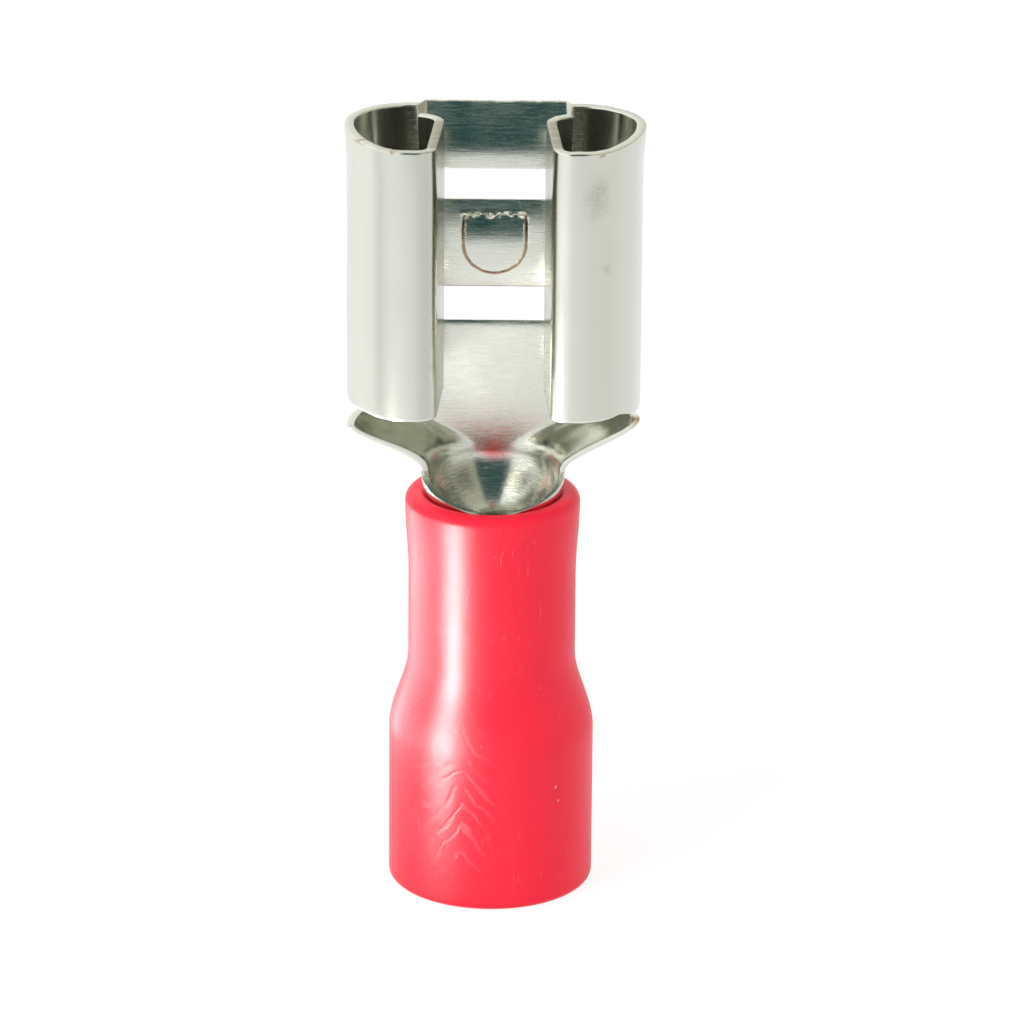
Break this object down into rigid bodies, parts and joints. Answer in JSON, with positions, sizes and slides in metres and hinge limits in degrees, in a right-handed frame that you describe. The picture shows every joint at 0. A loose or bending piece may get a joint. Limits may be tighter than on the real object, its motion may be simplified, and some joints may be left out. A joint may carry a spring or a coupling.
{
  "type": "female spade terminal",
  "caption": "Insulated female spade terminal: folded brass receptacle with rolled curls and a spring bridge, rolled crimp barrel, and a red sleeve that flares at the wire end.",
  "frame": {"origin": "centre of the sleeve's wire end, where the part's axis meets the face it stands on", "axes": "+Z along the terminal from the wire end to the mouth of the receptacle, X across the receptacle, -Y towards the side where the curls leave the receptacle open"},
  "size_m": [0.0074, 0.0052, 0.0205],
  "materials": {
    "tinned_brass": "tin-plated, dull satin, with bare brass at the sheared edges",
    "red_pvc": "satin gloss, lightly scuffed"
  },
  "bodies": {
    "root": {"terminal": "tinned_brass", "sleeve": "red_pvc"}
  },
  "joints": []
}
